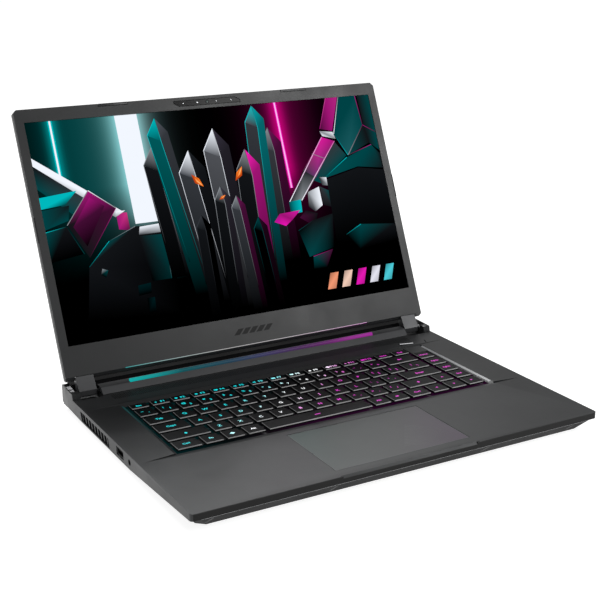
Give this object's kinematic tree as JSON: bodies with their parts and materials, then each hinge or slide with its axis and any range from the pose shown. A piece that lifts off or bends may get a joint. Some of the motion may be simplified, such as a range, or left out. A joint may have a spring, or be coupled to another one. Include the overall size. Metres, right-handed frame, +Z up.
{
  "type": "laptop computer",
  "caption": "Open clamshell gaming laptop with a hinged screen lid, lit keyboard, glowing hinge bar, touchpad, side and rear ports and cooling fans inside.",
  "frame": {"origin": "on the desk, under the middle of the bounding box of the laptop with its lid open at rest", "axes": "+X to the user's right, +Y away from the user towards the hinge, +Z up"},
  "size_m": [0.36, 0.3504, 0.2422],
  "materials": {
    "deck_metal": "bead-blasted dark grey anodised metal, satin",
    "shell_plastic": "fine-textured dark grey moulded plastic",
    "bezel_plastic": "fine-textured dark grey moulded plastic",
    "key_plastic": "matt black, with legends lit from below",
    "black_plastic": "black moulded plastic",
    "rubber": "matt black rubber",
    "steel": "plain pressed steel",
    "copper": "bare copper",
    "circuit_board": "dark green solder mask",
    "screen": "matt-coated display glass, lit",
    "touchpad_glass": "smooth grey glass",
    "light_diffuser": "frosted diffuser, lit cyan to violet to magenta",
    "battery_wrap": "black film wrap"
  },
  "bodies": {
    "base": {"top_case": "deck_metal", "bottom_cover": "shell_plastic", "rear_cover": "shell_plastic", "front_foot": "rubber", "rear_foot": "rubber", "hinge_bar": "bezel_plastic", "light_bar": "light_diffuser", "hinge_bracket_left": "steel", "hinge_bracket_right": "steel", "keyboard_plate": "black_plastic", "motherboard": "circuit_board", "heat_pipes": "copper", "heatsink_left": "copper", "heatsink_right": "copper", "fan_housing_left": "black_plastic", "fan_housing_right": "black_plastic", "battery_pack": "battery_wrap", "solid_state_drive": "circuit_board", "memory_module": "circuit_board", "speaker_left": "black_plastic", "speaker_right": "black_plastic", "usb_a_port_left": "steel", "audio_jack": "black_plastic", "usb_a_port_right": "steel", "usb_c_port_right": "steel", "ethernet_port": "steel", "hdmi_port": "steel", "power_inlet": "black_plastic", "vent_grille": "black_plastic"},
    "lid": {"lid_cover": "deck_metal", "display_bezel": "bezel_plastic", "lcd_panel": "screen", "webcam_module": "black_plastic", "hinge_arm_left": "steel", "hinge_arm_right": "steel", "hinge_cap_left": "bezel_plastic", "hinge_cap_right": "bezel_plastic", "lid_bumper_left": "rubber", "lid_bumper_right": "rubber"},
    "touchpad": {"touchpad": "touchpad_glass"},
    "power_button": {"power_button": "steel"},
    "fan_impeller_left": {"fan_impeller_left": "black_plastic"},
    "fan_impeller_right": {"fan_impeller_right": "black_plastic"},
    "function_row_keys": {"function_row_keys": "key_plastic"},
    "number_row_keys": {"number_row_keys": "key_plastic"},
    "backspace_key": {"backspace_key": "key_plastic"},
    "tab_key": {"tab_key": "key_plastic"},
    "upper_letter_keys": {"upper_letter_keys": "key_plastic"},
    "backslash_key": {"backslash_key": "key_plastic"},
    "caps_lock_key": {"caps_lock_key": "key_plastic"},
    "home_letter_keys": {"home_letter_keys": "key_plastic"},
    "enter_key": {"enter_key": "key_plastic"},
    "left_shift_key": {"left_shift_key": "key_plastic"},
    "lower_letter_keys": {"lower_letter_keys": "key_plastic"},
    "right_shift_key": {"right_shift_key": "key_plastic"},
    "left_modifier_keys": {"left_modifier_keys": "key_plastic"},
    "space_bar": {"space_bar": "key_plastic"},
    "right_modifier_keys": {"right_modifier_keys": "key_plastic"},
    "arrow_keys": {"arrow_keys": "key_plastic"},
    "navigation_keys": {"navigation_keys": "key_plastic"}
  },
  "joints": [
    {"name": "lid_hinge", "type": "hinge", "parent": "base", "child": "lid", "pos_m": [0, 0.07072, 0.01804], "axis": [-1, 0, 0], "range_deg": [-114, 16]},
    {"name": "touchpad_click", "type": "hinge", "parent": "base", "child": "touchpad", "pos_m": [0, -0.09071, 0.0152], "axis": [1, 0, 0], "range_deg": [0, 0.4], "stiffness_Nm_per_rad": 20, "springref_deg": -0.23},
    {"name": "power_button_press", "type": "slide", "parent": "base", "child": "power_button", "axis": [0, 0, 1], "range_m": [-0.0008, 0], "stiffness_N_per_m": 400, "springref_m": 0.001},
    {"name": "fan_spin_left", "type": "hinge", "parent": "base", "child": "fan_impeller_left", "pos_m": [-0.112, 0.00879, 0.0075], "axis": [0, 0, 1], "continuous": true},
    {"name": "fan_spin_right", "type": "hinge", "parent": "base", "child": "fan_impeller_right", "pos_m": [0.112, 0.00879, 0.0075], "axis": [0, 0, 1], "continuous": true},
    {"name": "function_row_press", "type": "slide", "parent": "base", "child": "function_row_keys", "axis": [0, 0, 1], "range_m": [-0.0015, 0], "stiffness_N_per_m": 1150, "springref_m": 0.001},
    {"name": "number_row_press", "type": "slide", "parent": "base", "child": "number_row_keys", "axis": [0, 0, 1], "range_m": [-0.0015, 0], "stiffness_N_per_m": 1030, "springref_m": 0.001},
    {"name": "backspace_press", "type": "slide", "parent": "base", "child": "backspace_key", "axis": [0, 0, 1], "range_m": [-0.0015, 0], "stiffness_N_per_m": 310, "springref_m": 0.001},
    {"name": "tab_press", "type": "slide", "parent": "base", "child": "tab_key", "axis": [0, 0, 1], "range_m": [-0.0015, 0], "stiffness_N_per_m": 310, "springref_m": 0.001},
    {"name": "upper_letter_press", "type": "slide", "parent": "base", "child": "upper_letter_keys", "axis": [0, 0, 1], "range_m": [-0.0015, 0], "stiffness_N_per_m": 970, "springref_m": 0.001},
    {"name": "backslash_press", "type": "slide", "parent": "base", "child": "backslash_key", "axis": [0, 0, 1], "range_m": [-0.0015, 0], "stiffness_N_per_m": 310, "springref_m": 0.001},
    {"name": "caps_lock_press", "type": "slide", "parent": "base", "child": "caps_lock_key", "axis": [0, 0, 1], "range_m": [-0.0015, 0], "stiffness_N_per_m": 310, "springref_m": 0.001},
    {"name": "home_letter_press", "type": "slide", "parent": "base", "child": "home_letter_keys", "axis": [0, 0, 1], "range_m": [-0.0015, 0], "stiffness_N_per_m": 910, "springref_m": 0.001},
    {"name": "enter_press", "type": "slide", "parent": "base", "child": "enter_key", "axis": [0, 0, 1], "range_m": [-0.0015, 0], "stiffness_N_per_m": 310, "springref_m": 0.001},
    {"name": "left_shift_press", "type": "slide", "parent": "base", "child": "left_shift_key", "axis": [0, 0, 1], "range_m": [-0.0015, 0], "stiffness_N_per_m": 310, "springref_m": 0.001},
    {"name": "lower_letter_press", "type": "slide", "parent": "base", "child": "lower_letter_keys", "axis": [0, 0, 1], "range_m": [-0.0015, 0], "stiffness_N_per_m": 850, "springref_m": 0.001},
    {"name": "right_shift_press", "type": "slide", "parent": "base", "child": "right_shift_key", "axis": [0, 0, 1], "range_m": [-0.0015, 0], "stiffness_N_per_m": 310, "springref_m": 0.001},
    {"name": "left_modifier_press", "type": "slide", "parent": "base", "child": "left_modifier_keys", "axis": [0, 0, 1], "range_m": [-0.0015, 0], "stiffness_N_per_m": 490, "springref_m": 0.001},
    {"name": "space_press", "type": "slide", "parent": "base", "child": "space_bar", "axis": [0, 0, 1], "range_m": [-0.0015, 0], "stiffness_N_per_m": 370, "springref_m": 0.001},
    {"name": "right_modifier_press", "type": "slide", "parent": "base", "child": "right_modifier_keys", "axis": [0, 0, 1], "range_m": [-0.0015, 0], "stiffness_N_per_m": 430, "springref_m": 0.001},
    {"name": "arrow_press", "type": "slide", "parent": "base", "child": "arrow_keys", "axis": [0, 0, 1], "range_m": [-0.0015, 0], "stiffness_N_per_m": 490, "springref_m": 0.001},
    {"name": "navigation_press", "type": "slide", "parent": "base", "child": "navigation_keys", "axis": [0, 0, 1], "range_m": [-0.0015, 0], "stiffness_N_per_m": 490, "springref_m": 0.001}
  ]
}
